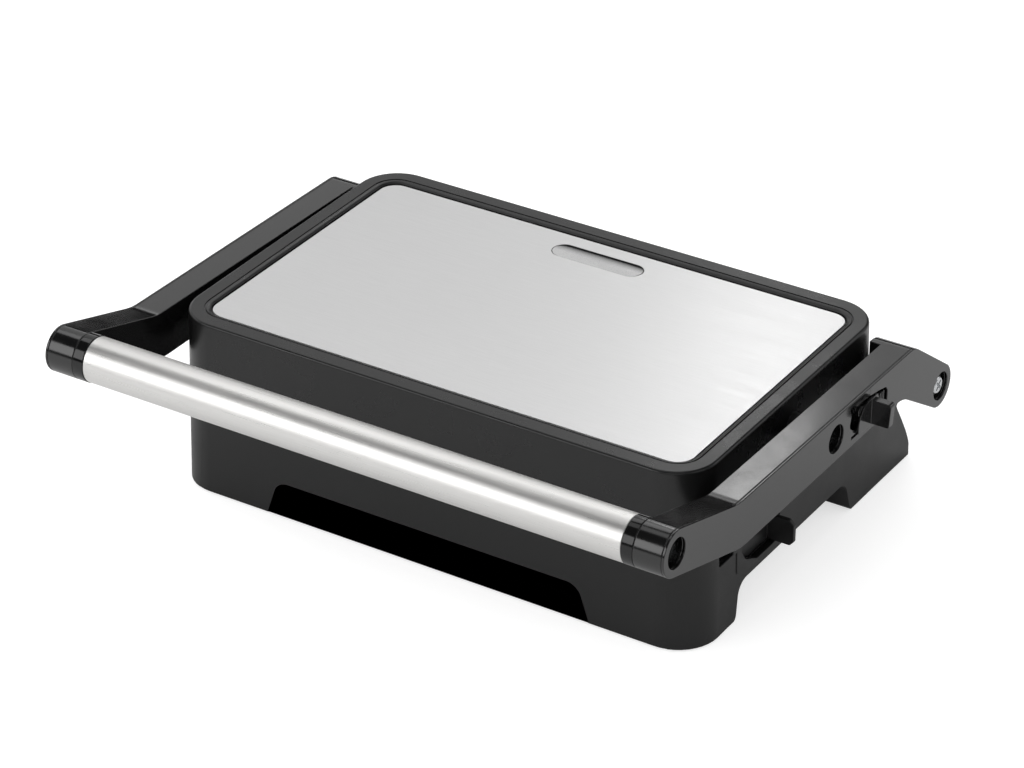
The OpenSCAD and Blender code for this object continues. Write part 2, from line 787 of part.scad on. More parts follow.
// Coil spring that pushes the release slider back, in front of its wings
module release_spring() {
    color(zinc) placed() difference() {
        along_y(11.2, release_front - 0.2) translate([arm_in + 9, 70]) circle(r = 1.9);
        along_y(11, 19) translate([arm_in + 9, 70]) circle(r = 1.3);
    }
}

// ---------------------------------------------------------------- lid

deck_top = lid_top - panel_drop - 1;
deck_under = deck_top - wall;
ring_step = 0.45;
lid_room_low = lid_rim + wall;

module lid_slab(z, inset) {
    translate([0, 0, z]) linear_extrude(0.1)
        plan(2 * (half_w(z) - inset), front_y + inset, lid_back - inset,
             corner_r - inset, corner_r - inset);
}

module lid_shell() {
    color(black_gloss) placed() difference() {
        union() {
            difference() {
                // outside, with a rounded top edge
                hull() {
                    lid_slab(lid_rim, 0);
                    for (a = [0 : 22.5 : 90]) {
                        lid_slab(lid_top - 0.1 - edge_r * (1 - sin(a)), edge_r * (1 - cos(a)));
                    }
                }
                hull() {
                    lid_slab(lid_room_low, wall);
                    lid_slab(deck_under - 0.1, wall);
                }
                // opening for the grill plate
                translate([0, 0, lid_rim - 1]) linear_extrude(wall + 2)
                    centred_plan(plate_w + 2 * plate_gap, plate_d + 2 * plate_gap, 11);
                // bed for the steel panel, with a small step and a shallow bevel round it
                translate([0, 0, deck_top]) linear_extrude(5)
                    centred_plan(panel_w + 1.4, panel_d + 1.4, panel_r + 0.7);
                hull() {
                    translate([0, 0, lid_top - ring_step - 0.6]) linear_extrude(0.01)
                        centred_plan(panel_w + 1.4, panel_d + 1.4, panel_r + 0.7);
                    translate([0, 0, lid_top - ring_step]) linear_extrude(2)
                        centred_plan(panel_w + 6.8, panel_d + 6.8, panel_r + 3.4);
                }
            }
            for (p = plate_screws) {
                translate([p[0], p[1], seam_z - plate_boss_low + 0.5])
                    cylinder(r = 5, h = deck_under - seam_z + plate_boss_low);
            }
            both_sides() rod_x(half_w(pivot_z) - wall - 4, arm_in - face_gap, 0, pivot_z, 6.2);
            // tongue that drops into the base's groove and shuts the seam
            translate([0, 0, base_rim - 0.9]) linear_extrude(lid_rim - base_rim + 1.4) seam_band(2.5, 3.7);
            // hook for the lock, hanging into the base
            box([119.1, -64.4, 31], [121.6, -61.8, lid_rim + 0.5]);
            box([119.1, -64.4, 31], [121.6, -50.2, 33.4]);
        }
        both_sides() rod_x(half_w(pivot_z) - wall - 5, arm_out, 0, pivot_z, pivot_pin_r);
        translate([0, window_y, deck_under - 1]) linear_extrude(wall + 2) stadium(window_l + 3, window_w + 3);
        for (p = plate_screws) {
            translate([p[0], p[1], seam_z]) cylinder(r = 2.05, h = 40);
            translate([p[0], p[1], deck_top - 2]) cylinder(r = 4.1, h = 4);
        }
    }
}

module top_panel() {
    color(steel) placed() difference() {
        translate([0, 0, deck_top]) linear_extrude(1) centred_plan(panel_w, panel_d, panel_r);
        translate([0, window_y, deck_top - 1]) linear_extrude(3) stadium(window_l + 0.5, window_w + 0.5);
    }
}

module indicator_lens() {
    crown_r = 34;
    color([0.75, 0.75, 0.75, 0.6]) placed() {
        translate([0, window_y, deck_under]) linear_extrude(wall) stadium(window_l + 2.8, window_w + 2.8);
        intersection() {
            translate([0, window_y, deck_top]) linear_extrude(3) stadium(window_l, window_w);
            along_x(-40, 40) translate([window_y, deck_top + 1.5 - crown_r]) circle(r = crown_r, $fn = 180);
        }
    }
}

lamp_x = 11;
lamp_y = window_y - 2;

module lamp_holder() {
    color([0.85, 0.84, 0.8]) placed() difference() {
        translate([0, lamp_y, deck_under - 3.4]) linear_extrude(3.4) centred_plan(44, 12.6, 2);
        for (side = [-1, 1]) {
            translate([side * lamp_x, lamp_y, deck_under - 5]) cylinder(r = 3.1, h = 6);
        }
    }
}

module lamp_bulb() {
    translate([0, 0, deck_under - 7.5]) cylinder(r = 3, h = 6);
    translate([0, 0, deck_under - 1.5]) cylinder(r1 = 3, r2 = 1.6, h = 1.2);
    for (side = [-1, 1]) {
        translate([side * 1.2, 0, deck_under - 11]) cylinder(r = 0.4, h = 3.6);
    }
}

module power_lamp() { color([0.85, 0.2, 0.12]) placed() translate([-lamp_x, lamp_y, 0]) lamp_bulb(); }
module ready_lamp() { color([0.25, 0.75, 0.3]) placed() translate([lamp_x, lamp_y, 0]) lamp_bulb(); }

// Screws that hang the lid between the arms and let it tilt
module pivot_screws() {
    color(zinc) placed() both_sides() translate([arm_in + 4.5, 0, pivot_z]) rotate([0, 90, 0])
        pan_screw(pivot_pin_r, 16, 4.6, 2.4);
}

// ---------------------------------------------------------------- one node at a time

base_shell();
base_cover();
cover_screws();
foot_pads();
cord_gland();
cord_clamp();
clamp_screws();
terminal_block();
terminal_screws();
lower_grill_plate();
lower_heating_element();
lower_element_clamps();
lower_heat_shield();
lower_thermostat();
lower_plate_screws();
thermal_fuse();
hinge_screws();
lock_guide();
lock_slider();
lock_detent_spring();
arm_body_left();
arm_body_right();
arm_cover_left();
arm_cover_right();
cover_clip_pins();
hinge_bushes();
handle_tube();
handle_ferrules();
handle_tie_rod();
handle_screws();
release_slider();
release_spring();
lid_shell();
top_panel();
indicator_lens();
lamp_holder();
power_lamp();
ready_lamp();
upper_grill_plate();
upper_heating_element();
upper_element_clamps();
upper_heat_shield();
upper_thermostat();
upper_plate_screws();
pivot_screws();
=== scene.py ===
"""Panini press: the looks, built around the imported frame.

Lengths are in millimetres in the code and in metres in Blender. "Plan" values are measured from
the lid's centre, as the part's design does; at() turns them into the frame's own coordinates.
"""

import json
import math

import bmesh
import bpy
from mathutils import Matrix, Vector


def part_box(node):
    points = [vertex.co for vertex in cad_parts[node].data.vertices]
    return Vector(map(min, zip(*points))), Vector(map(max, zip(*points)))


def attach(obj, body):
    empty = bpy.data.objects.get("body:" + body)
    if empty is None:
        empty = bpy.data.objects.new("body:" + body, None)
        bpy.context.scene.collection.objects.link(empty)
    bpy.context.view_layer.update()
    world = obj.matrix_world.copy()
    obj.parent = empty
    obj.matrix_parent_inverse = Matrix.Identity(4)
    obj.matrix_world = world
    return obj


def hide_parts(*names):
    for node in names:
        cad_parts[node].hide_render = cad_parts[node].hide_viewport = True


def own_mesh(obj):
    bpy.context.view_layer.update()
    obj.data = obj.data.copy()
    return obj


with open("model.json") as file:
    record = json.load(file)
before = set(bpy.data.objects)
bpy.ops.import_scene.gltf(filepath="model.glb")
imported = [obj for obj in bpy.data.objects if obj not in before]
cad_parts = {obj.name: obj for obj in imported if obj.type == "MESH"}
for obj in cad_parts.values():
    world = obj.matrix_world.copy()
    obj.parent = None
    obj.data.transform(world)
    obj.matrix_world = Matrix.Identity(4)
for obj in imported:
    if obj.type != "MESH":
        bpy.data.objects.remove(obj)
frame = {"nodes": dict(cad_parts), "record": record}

MM = 0.001
TAU = 2 * math.pi
ROUND_ABOVE = 28         # edges that bend by more degrees than this are rounded
PANEL_CORNER = 8
WINDOW = (45, 11.5)      # the lamp window's opening in the panel, length and width
bpy.context.view_layer.update()
nodes = frame["nodes"]
record = frame["record"]
slot_of = {s["node"]: s["material_slot"] for s in record["subparts"]}
body_of = {n: b for b, ns in record["behaviour"]["bodies"].items() for n in ns}


# ------------------------------------------------------------------ places taken from the frame

def size(node):
    low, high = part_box(node)
    return (high - low) / MM


def middle(node):
    low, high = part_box(node)
    return (high + low) / 2 / MM


# The lid's centre, where the plan values start
PLAN = Vector((middle("top_panel").x, middle("top_panel").y, 0))


def at(x, y, z):
    """A plan point in millimetres, as a frame point in metres."""
    return (PLAN + Vector((x, y, z))) * MM


def low_of(node):
    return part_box(node)[0] / MM - PLAN


def high_of(node):
    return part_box(node)[1] / MM - PLAN


# ------------------------------------------------------------------ meshes

def piece(name, mesh, node=None, slot=None, body=None, replaces=()):
    """A new visible piece that stands for a CAD node, or rides on a body of its own."""
    obj = bpy.data.objects.new(name, mesh)
    bpy.context.scene.collection.objects.link(obj)
    replaces = replaces or ([node] if node else [])
    if replaces:
        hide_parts(*replaces)
        slot = slot or slot_of[replaces[0]]
        body = body or body_of[replaces[0]]
    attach(obj, body)
    mesh.materials.clear()
    mesh.materials.append(LOOKS[slot])
    return obj


def middle_of(edge):
    return (edge.verts[0].co + edge.verts[1].co) / 2 / MM - PLAN


def smooth(bm, sharp_above=40, faceted=None):
    """Smooth faces, with edges sharper than that many degrees kept crisp. Where faceted(middle of
    the edge) holds, every bend is kept crisp."""
    limit = math.radians(sharp_above)
    for f in bm.faces:
        f.smooth = True
    for e in bm.edges:
        angle = e.calc_face_angle(0) if len(e.link_faces) == 2 else math.pi
        e.smooth = angle < limit
        if faceted and angle > math.radians(1) and faceted(middle_of(e)):
            e.smooth = False


def to_mesh(bm, name, sharp_above=40, faceted=None):
    bmesh.ops.recalc_face_normals(bm, faces=bm.faces)
    smooth(bm, sharp_above, faceted)
    mesh = bpy.data.meshes.new(name)
    bm.to_mesh(mesh)
    bm.free()
    return mesh


def flat_shading_kept(obj):
    """Large flat faces keep flat highlights next to rounded edges."""
    mod = obj.modifiers.new("weighted", "WEIGHTED_NORMAL")
    mod.keep_sharp = True
    mod.weight = 80


def loft(loops, closed=False, caps=False):
    """A skin over loops that all have the same number of points."""
    bm = bmesh.new()
    rows = [[bm.verts.new(p) for p in loop] for loop in loops]
    count = len(rows[0])
    pairs = list(zip(rows, rows[1:]))
    if closed:
        pairs.append((rows[-1], rows[0]))
    for a, b in pairs:
        for i in range(count):
            j = (i + 1) % count
            bm.faces.new((a[i], a[j], b[j], b[i]))
    if caps:
        bm.faces.new(rows[0])
        bm.faces.new(rows[-1])
    return bm


def rounded_rect(w, d, r, steps=14):
    """Points of a rounded rectangle, anticlockwise from the right-hand side."""
    points = []
    for corner, (sx, sy) in enumerate([(1, -1), (1, 1), (-1, 1), (-1, -1)]):
        cx, cy = sx * (w / 2 - r), sy * (d / 2 - r)
        for k in range(steps + 1):
            a = math.radians(-90 + 90 * corner + 90 * k / steps)
            points.append((cx + r * math.cos(a), cy + r * math.sin(a)))
    return points


def quarter(r, steps):
    """Inset and rise along a rounded edge of radius r: from the upright wall to the flat top."""
    turns = [90 * k / steps for k in range(steps + 1)]
    return [(r * (1 - math.cos(math.radians(t))), r * math.sin(math.radians(t))) for t in turns]


def lathe(profile, steps=96):
    """Points (distance along X, radius) turned about the X axis; returns loops at the origin."""
    loops = []
    for x, r in profile:
        loops.append([(x, r * math.cos(TAU * k / steps), r * math.sin(TAU * k / steps))
                      for k in range(steps)])
    return loops


def placed(loops, origin):
    return [[at(*(Vector(p) + Vector(origin))) for p in loop] for loop in loops]


def refine(node, width, segments=3, narrow=None, faceted=None):
    """The CAD node's own form with its edges rounded. narrow = (test, width) picks the edges, by
    their middle in plan millimetres, that get a finer rounding. faceted does the same for the
    edges whose bends all stay crisp."""
    mesh = nodes[node].data.copy()
    bm = bmesh.new()
    bm.from_mesh(mesh)
    bmesh.ops.remove_doubles(bm, verts=bm.verts, dist=0.002 * MM)
    bmesh.ops.dissolve_limit(bm, angle_limit=math.radians(0.6), verts=bm.verts, edges=bm.edges)
    bmesh.ops.dissolve_degenerate(bm, dist=0.004 * MM, edges=bm.edges)

    def crisp(e):
        return len(e.link_faces) == 2 and e.calc_face_angle(0) > math.radians(ROUND_ABOVE)

    if narrow:
        test, fine = narrow
        chosen = [e for e in bm.edges if crisp(e) and test(middle_of(e))]
        bmesh.ops.bevel(bm, geom=chosen, offset=fine * MM, segments=2, profile=0.5, affect="EDGES")
    else:
        def test(_):
            return False
    if width:
        chosen = [e for e in bm.edges if crisp(e) and not test(middle_of(e))]
        bmesh.ops.bevel(bm, geom=chosen, offset=width * MM, segments=segments, profile=0.5,
                        affect="EDGES")
    obj = piece(node + "_form", to_mesh(bm, node + "_form", faceted=faceted), node)
    flat_shading_kept(obj)
    return obj


# ------------------------------------------------------------------ materials

class Look:
    """A node material being built. Constants go straight on the shader's own sockets."""

    def __init__(self, name, **sockets):
        self.material = bpy.data.materials.new(name)
        self.material.use_nodes = True
        self.tree = self.material.node_tree
        self.shader = self.tree.nodes["Principled BSDF"]
        for key, value in sockets.items():
            self.shader.inputs[key.replace("_", " ")].default_value = value
        self.place = self.add("ShaderNodeTexCoord").outputs["Object"]

    def add(self, kind, **settings):
        node = self.tree.nodes.new(kind)
        for key, value in settings.items():
            setattr(node, key, value)
        return node

    def put(self, socket, value):
        if isinstance(value, bpy.types.NodeSocket):
            self.tree.links.new(value, socket)
        else:
            socket.default_value = value

    def stretched(self, along, across_1, across_2):
        node = self.add("ShaderNodeMapping")
        self.put(node.inputs["Vector"], self.place)
        node.inputs["Scale"].default_value = (along, across_1, across_2)
        return node.outputs["Vector"]

    def noise(self, scale, detail=3, rough=0.55, place=None, distortion=0):
        node = self.add("ShaderNodeTexNoise")
        self.put(node.inputs["Vector"], place or self.place)
        node.inputs["Scale"].default_value = scale
        node.inputs["Detail"].default_value = detail
        node.inputs["Roughness"].default_value = rough
        node.inputs["Distortion"].default_value = distortion
        return node.outputs["Fac"]

    def cells(self, scale, place=None):
        node = self.add("ShaderNodeTexVoronoi")
        self.put(node.inputs["Vector"], place or self.place)
        node.inputs["Scale"].default_value = scale
        return node.outputs["Distance"]

    def span(self, value, low, high, start=0.3, end=0.7):
        """Maps start..end of a value onto low..high."""
        node = self.add("ShaderNodeMapRange")
        self.put(node.inputs["Value"], value)
        for key, v in (("From Min", start), ("From Max", end), ("To Min", low), ("To Max", high)):
            node.inputs[key].default_value = v
        return node.outputs["Result"]

    def maths(self, operation, a, b):
        node = self.add("ShaderNodeMath", operation=operation)
        self.put(node.inputs[0], a)
        self.put(node.inputs[1], b)
        return node.outputs[0]

    def blend(self, share, a, b):
        node = self.add("ShaderNodeMix", data_type="RGBA")
        self.put(node.inputs["Factor"], share)
        self.put(node.inputs["A"], a)
        self.put(node.inputs["B"], b)
        return node.outputs["Result"]

    def edges(self, start=0.52, end=0.62):
        """1 on worn outer edges, 0 elsewhere."""
        return self.span(self.add("ShaderNodeNewGeometry").outputs["Pointiness"], 0, 1, start, end)

    def bump(self, height, strength, distance, under=None):
        node = self.add("ShaderNodeBump")
        node.inputs["Strength"].default_value = strength
        node.inputs["Distance"].default_value = distance
        self.put(node.inputs["Height"], height)
        if under:
            self.put(node.inputs["Normal"], under)
        return node.outputs["Normal"]

    def done(self, colour=None, rough=None, normal=None):
        if colour is not None:
            self.put(self.shader.inputs["Base Color"], colour)
        if rough is not None:
            self.put(self.shader.inputs["Roughness"], rough)
        if normal is not None:
            self.put(self.shader.inputs["Normal"], normal)
        return self.material


def grey(v, tint=(1, 1, 1)):
    return (v * tint[0], v * tint[1], v * tint[2], 1)


def moulded(name, value, rough, grain, gloss=0.5, tint=(1, 1, 1.03), wear=0.06):
    """Injection-moulded plastic: a fine spark-eroded grain, slow flow marks and rubbed edges."""
    look = Look(name, Specular_IOR_Level=gloss)
    flow = look.noise(14, 2, 0.5, distortion=0.4)
    fine = look.noise(2600, 2, 0.6)
    rubbed = look.edges()
    smudge = look.noise(55, 4, 0.6)
    body = look.blend(look.span(flow, 0, 1), grey(value * 0.86, tint), grey(value * 1.16, tint))
    worn = look.blend(look.maths("MULTIPLY", rubbed, wear * 4), body, grey(value * 2.6 + 0.01, tint))
    base_rough = look.span(smudge, rough - 0.035, rough + 0.045)
    rougher = look.maths("ADD", base_rough, look.maths("MULTIPLY", rubbed, 0.05))
    wave = look.bump(flow, 0.05, 0.0006)
    return look.done(worn, rougher, look.bump(fine, grain, 0.00004, wave))


def brushed(name, value, rough, along, across=0.5, tint=(1, 1, 1), line=0.35):
    """Steel brushed in long fine strokes; along is how much the strokes are drawn out on X."""
    look = Look(name, Metallic=1.0, Anisotropic=across)
    tangent = look.add("ShaderNodeTangent", direction_type="RADIAL", axis="X")
    look.put(look.shader.inputs["Tangent"], tangent.outputs["Tangent"])
    strokes = look.noise(2400, 4, 0.75, look.stretched(along, 1, 1))
    broad = look.noise(700, 3, 0.6, look.stretched(along * 0.6, 1, 1))
    cloud = look.noise(9, 3, 0.5)
    tone = look.blend(look.span(strokes, 0, 1, 0.25, 0.75), grey(value * 0.94, tint),
                      grey(value * 1.04, tint))
    tone = look.blend(look.span(cloud, 0, 0.3), tone, grey(value * 0.95, tint))
    roughness = look.maths("ADD", look.span(strokes, rough - 0.05, rough + 0.06, 0.25, 0.75),
                           look.span(broad, -0.02, 0.03))
    under = look.bump(broad, 0.1, 0.00005)
    return look.done(tone, roughness, look.bump(strokes, line, 0.00003, under))


def plated(name, value, rough, tint=(1, 1, 1)):
    """Zinc-plated or plain metal with faint mottling and rubbed edges."""
    look = Look(name, Metallic=1.0)
    mottle = look.noise(420, 4, 0.6)
    tone = look.blend(look.span(mottle, 0, 1), grey(value * 0.88, tint), grey(value * 1.08, tint))
    rubbed = look.maths("MULTIPLY", look.edges(), 0.5)
    bright = look.blend(rubbed, tone, grey(min(1, value * 1.25), tint))
    return look.done(bright, look.span(mottle, rough - 0.06, rough + 0.1),
                     look.bump(look.noise(1500, 3), 0.12, 0.00003))


def nonstick(name):
    """Die casting with a sprayed black coating: orange peel, mineral specks, rubbed rib crests."""
    look = Look(name, Specular_IOR_Level=0.55)
    peel = look.noise(700, 3, 0.5)
    speck = look.span(look.cells(1900), 1, 0, 0.02, 0.11)
    base = look.blend(look.span(look.noise(30, 3), 0, 1), grey(0.016), grey(0.03))
    dotted = look.blend(look.maths("MULTIPLY", speck, 0.35), base, grey(0.12))
    rubbed = look.blend(look.maths("MULTIPLY", look.edges(0.53, 0.66), 0.5), dotted, grey(0.09))
    return look.done(rubbed, look.span(peel, 0.38, 0.52), look.bump(peel, 0.25, 0.00008))


def rubber(name):
    look = Look(name, Specular_IOR_Level=0.3)
    dust = look.noise(260, 4, 0.7)
    base = look.blend(look.span(dust, 0, 1), grey(0.02), grey(0.045))
    return look.done(base, look.span(dust, 0.72, 0.9), look.bump(look.noise(1200, 3), 0.4, 0.0001))


def ceramic(name, colour, rough):
    look = Look(name)
    fleck = look.noise(600, 4, 0.6)
    dark = tuple(c * 0.86 for c in colour)
    base = look.blend(look.span(fleck, 0, 1), (*dark, 1), (*colour, 1))
    return look.done(base, look.span(fleck, rough - 0.06, rough + 0.06),
                     look.bump(look.noise(900, 3), 0.2, 0.00005))


def heated_sheath(name):
    """Element sheath with the straw and blue bands that heat leaves."""
    look = Look(name, Metallic=1.0)
    band = look.noise(22, 3, 0.6)
    base = look.blend(look.span(band, 0, 1), (0.26, 0.2, 0.14, 1), (0.16, 0.17, 0.22, 1))
    return look.done(base, look.span(look.noise(300), 0.38, 0.55),
                     look.bump(look.noise(1800, 3), 0.2, 0.00003))


def clear(name, colour, rough, transmission, fleck):
    """Tinted clear plastic with faint moulding flow."""
    look = Look(name, Transmission_Weight=transmission, IOR=1.49)
    flow = look.noise(90, 3, 0.6)
    light = (*colour, 1)
    dark = (*[c * fleck for c in colour], 1)
    return look.done(look.blend(look.span(flow, 0, 1), dark, light),
                     look.span(flow, rough, rough + 0.08), look.bump(flow, 0.08, 0.0001))


def window_plastic_painted_shade(name):
    """Ribbed smoke-clear window with a fine dotted texture: pale along its front half, with painted
    shade making its rear half dark.
    """
    look = Look(name, Transmission_Weight=0.25, IOR=1.49)
    apart = look.add("ShaderNodeSeparateXYZ")
    look.put(apart.inputs["Vector"], look.place)
    rear = middle("indicator_lens").y * MM
    # Painted shade: the window's colour darkens to grey 0.17 towards its rear, in place of shade from
    # its mounting.
    band = look.span(apart.outputs["Y"], 0, 1, rear - 0.001, rear + 0.0048)
    pale = look.blend(look.noise(160, 3), grey(0.42), grey(0.56))
    tone = look.blend(band, pale, grey(0.17))
    dots = look.span(look.cells(1500), 1, 0, 0.1, 0.35)
    tone = look.blend(look.maths("MULTIPLY", dots, 0.3), tone, grey(0.12))
    return look.done(tone, look.span(look.noise(90), 0.16, 0.26), look.bump(dots, 0.3, 0.0001))


LOOKS = {
    "base_plastic": moulded("base_plastic", 0.004, 0.36, 0.3, 0.46),
    "arm_plastic": moulded("arm_plastic", 0.003, 0.14, 0.1, 0.8),
    "lid_plastic": moulded("lid_plastic", 0.004, 0.28, 0.22),
    "ferrule_plastic": moulded("ferrule_plastic", 0.003, 0.09, 0.05),
    "brushed_panel": brushed("brushed_panel", 0.76, 0.34, 0.03),
    "brushed_tube": brushed("brushed_tube", 0.82, 0.3, 0.012, 0.75, (1, 0.99, 0.97)),
    "screw_steel": plated("screw_steel", 0.72, 0.24, (0.98, 1, 1.02)),
    "nonstick_cast": nonstick("nonstick_cast"),
    "element_sheath": heated_sheath("element_sheath"),
    "shield_sheet": plated("shield_sheet", 0.66, 0.38),
    "thermostat_body": plated("thermostat_body", 0.62, 0.34, (1, 0.97, 0.88)),
    "ceramic_sleeve": ceramic("ceramic_sleeve", (0.82, 0.79, 0.71), 0.6),
    "terminal_plastic": ceramic("terminal_plastic", (0.8, 0.77, 0.68), 0.42),
    "bush_brass": plated("bush_brass", 0.75, 0.3, (1, 0.8, 0.42)),
    "pad_rubber": rubber("pad_rubber"),
    "lens_clear": window_plastic_painted_shade("lens_clear"),
    "lamp_red": clear("lamp_red", (0.7, 0.06, 0.03), 0.1, 0.6, 0.8),
    "lamp_green": clear("lamp_green", (0.08, 0.5, 0.15), 0.1, 0.6, 0.8),
}

for node, obj in nodes.items():
    obj.data.materials.clear()
    obj.data.materials.append(LOOKS[slot_of[node]])


# ------------------------------------------------------------------ lid

lid_top = high_of("lid_shell").z
panel = size("top_panel")
panel_top = high_of("top_panel").z


def build_panel():
    """Steel sheet with a rounded blanked edge and a slot for the lamp window."""
    edge = 0.16
    window = middle("indicator_lens") - PLAN
    low, high = low_of("top_panel").z, panel_top

    def slab(inset, z):
        return [at(x, y, z) for x, y in rounded_rect(panel.x - 2 * inset, panel.y - 2 * inset,
                                                     PANEL_CORNER - inset)]

    def slot(grow, z):
        w, d = WINDOW[0] + 2 * grow, WINDOW[1] + 2 * grow
        return [at(x + window.x, y + window.y, z) for x, y in rounded_rect(w, d, d / 2 - 0.001)]

    trim = 0.12
    loops = [slab(trim, low)]
    loops += [slab(trim + i, high - edge + r) for i, r in quarter(edge, 4)]
    loops += [slot(edge - i, high - edge + r) for i, r in reversed(quarter(edge, 4))]
    loops += [slot(0, low)]
    obj = piece("top_panel_sheet", to_mesh(loft(loops, closed=True), "top_panel_sheet"), "top_panel")
    flat_shading_kept(obj)


def build_lens():
    """Crowned window, lower at the rear, with fine ribs towards its ends, inside a dark collar."""
    centre = middle("indicator_lens") - PLAN
    half_l, half_w = 22.1, 5.2
    along, across = 260, 22
    low = low_of("top_panel").z
    bm = bmesh.new()
    rows = []
    for i in range(along + 1):
        x = -half_l + 2 * half_l * i / along
        end = max(0, abs(x) - (half_l - half_w))
        wide = max(0.06, math.sqrt(max(0, half_w * half_w - end * end)))
        ribbed = min(1, max(0, (abs(x) - 10) / 5))
        row = []
        for k in range(across + 1):
            y = (-1 + 2 * k / across) * wide
            rise = 0.78 * (1 - (y / half_w) ** 2) - 0.03 * y - 0.02 * end
            rib = 0.05 * ribbed * abs(((x / 0.95) % 1) * 2 - 1)
            row.append(bm.verts.new(at(x + centre.x, y + centre.y, panel_top - 0.5 + rise - rib)))
        rows.append(row)
    for a, b in zip(rows, rows[1:]):
        for k in range(across):
            bm.faces.new((a[k], b[k], b[k + 1], a[k + 1]))
    rim = [e for e in bm.edges if len(e.link_faces) == 1]
    skirt = bmesh.ops.extrude_edge_only(bm, edges=rim)["geom"]
    for v in skirt:
        if isinstance(v, bmesh.types.BMVert):
            v.co.z = at(0, 0, low).z
    bmesh.ops.holes_fill(bm, edges=[e for e in bm.edges if len(e.link_faces) == 1], sides=0)
    piece("indicator_lens_crown", to_mesh(bm, "indicator_lens_crown", 50), "indicator_lens")

    def ring(w, d, drop):
        return [at(x + centre.x, y + centre.y, panel_top - drop - 0.028 * (5.7 - y))
                for x, y in rounded_rect(w, d, d / 2 - 0.001)]

    def ring_low(w, d):
        return [at(x + centre.x, y + centre.y, low)
                for x, y in rounded_rect(w, d, d / 2 - 0.001)]

    loops = [ring_low(44.96, 11.46), ring(44.96, 11.46, 0.12), ring(44.8, 11.3, 0.03),
             ring(44.5, 11.0, 0.03), ring(44.3, 10.8, 0.12), ring_low(44.3, 10.8)]
    piece("lens_collar", to_mesh(loft(loops, closed=True), "lens_collar"), slot="lid_plastic",
          body="lid")


def build_trim():
    """Sloping strip round the panel, with a fine groove between it and the lid's rim."""
    def ring(grow, drop):
        return [at(x, y, lid_top - drop) for x, y in
                rounded_rect(panel.x + 2 * grow, panel.y + 2 * grow, PANEL_CORNER + grow)]

    loops = [ring(2.75, 0.75), ring(2.75, 0.24), ring(2.66, 0.15), ring(2.5, 0.14),
             ring(0.98, 0.84), ring(0.88, 0.92), ring(0.85, 1.2)]
    piece("panel_trim", to_mesh(loft(loops, closed=True), "panel_trim", 60), slot="lid_plastic",
          body="lid")


def build_tube():
    """Drawn tube with small chamfers at its ends."""
    half = size("handle_tube").x / 2
    r = size("handle_tube").y / 2
    centre = middle("handle_tube") - PLAN
    ends = [(half, r - 0.9), (half, r - 0.35), (half - 0.12, r - 0.12), (half - 0.35, r)]
    profile = [(-x, rr) for x, rr in ends] + [(x, rr) for x, rr in reversed(ends)]
    loops = placed(lathe(profile, 128), centre)
    mesh = to_mesh(loft(loops, closed=True), "handle_tube_drawn")
    flat_shading_kept(piece("handle_tube_drawn", mesh, "handle_tube"))


def build_spring():
    """Coil that the release slider's wings press together as it slides forward."""
    room = size("release_spring")
    centre = middle("release_spring") - PLAN
    wire, turns, steps = 0.22, 4, 36
    coil = room.x / 2 - wire
    start = centre.y - room.y / 2 + wire
    rise = (room.y - 2 * wire) / (turns * steps)
    loops = []
    for k in range(turns * steps + 1):
        turn = TAU * k / steps
        out = Vector((math.cos(turn), 0, math.sin(turn)))
        heart = Vector((centre.x, start + rise * k, centre.z)) + out * coil
        ring = [heart + (out * math.cos(a) + Vector((0, math.sin(a), 0))) * wire
                for a in (TAU * i / 10 for i in range(10))]
        loops.append([at(*p) for p in ring])
    obj = piece("release_spring_coil", to_mesh(loft(loops, caps=True), "release_spring_coil"),
                "release_spring")
    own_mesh(obj)


build_panel()
build_spring()
build_lens()
build_trim()
build_tube()

# ------------------------------------------------------------------ pieces with rounded edges

def on_panel_ring(p):
    """The step and bevel round the steel panel."""
    return p.z > panel_top - 1.2 and abs(p.x) < panel.x / 2 + 4.5 and abs(p.y) < panel.y / 2 + 4.5


rear_wall_from = high_of("lid_shell").y + 1
rear_wall_reach = size("lid_shell").x / 2 - 6


def on_rear_wall(p):
    """The base's sloping rear wall, between its corners."""
    return p.y > rear_wall_from and abs(p.x) < rear_wall_reach


refine("lid_shell", 0.35, narrow=(on_panel_ring, 0.12))
refine("base_shell", 0.4, faceted=on_rear_wall)
refine("base_cover", 0.25)
for side in ("left", "right"):
    refine("arm_body_" + side, 0.45)
    refine("arm_cover_" + side, 0.35)
refine("release_slider", 0.25)
refine("lock_slider", 0.25)
refine("handle_ferrules", 0.4)
for fixing in ("hinge_screws", "pivot_screws", "handle_screws", "cover_screws"):
    refine(fixing, 0.16, 2)
refine("foot_pads", 0.3)
refine("cord_gland", 0.4)
for level in ("lower", "upper"):
    refine(level + "_grill_plate", 0.4)

# ------------------------------------------------------------------ studio

# Soft lights: direction from the press (azimuth from +Y towards +X, elevation, in degrees),
# distance, width and height in metres, and radiance
SOFTBOXES = [
    ("back_softbox", -32, 31, 1.45, 1.7, 0.8, 0.72),
    ("back_high", -44, 53, 1.5, 1.3, 0.42, 1.5),
    ("back_low", -32, 17, 1.5, 1.3, 0.1, 0.8),
    ("back_strip", -21.5, 34.6, 1.11, 0.09, 0.2, 3.4),
    ("overhead", -86, 66, 1.5, 0.5, 0.5, 0.85),
    ("front_softbox", -150, 23, 1.6, 1.3, 0.85, 2.3),
    ("front_right_softbox", 150, 24, 1.8, 1.2, 0.7, 1.4),
    ("right_softbox", 95, 28, 1.8, 1.0, 0.7, 1.1),
    ("left_softbox", -95, 26, 1.8, 1.2, 0.8, 1.2),
    ("zenith_softbox", 148, 87, 1.8, 1.0, 1.0, 0.7),
    ("rear_left_softbox", -62, 12, 1.7, 0.9, 0.4, 1.1),
    ("rear_right_softbox", 42, 18, 1.7, 1.1, 0.6, 1.1),
]
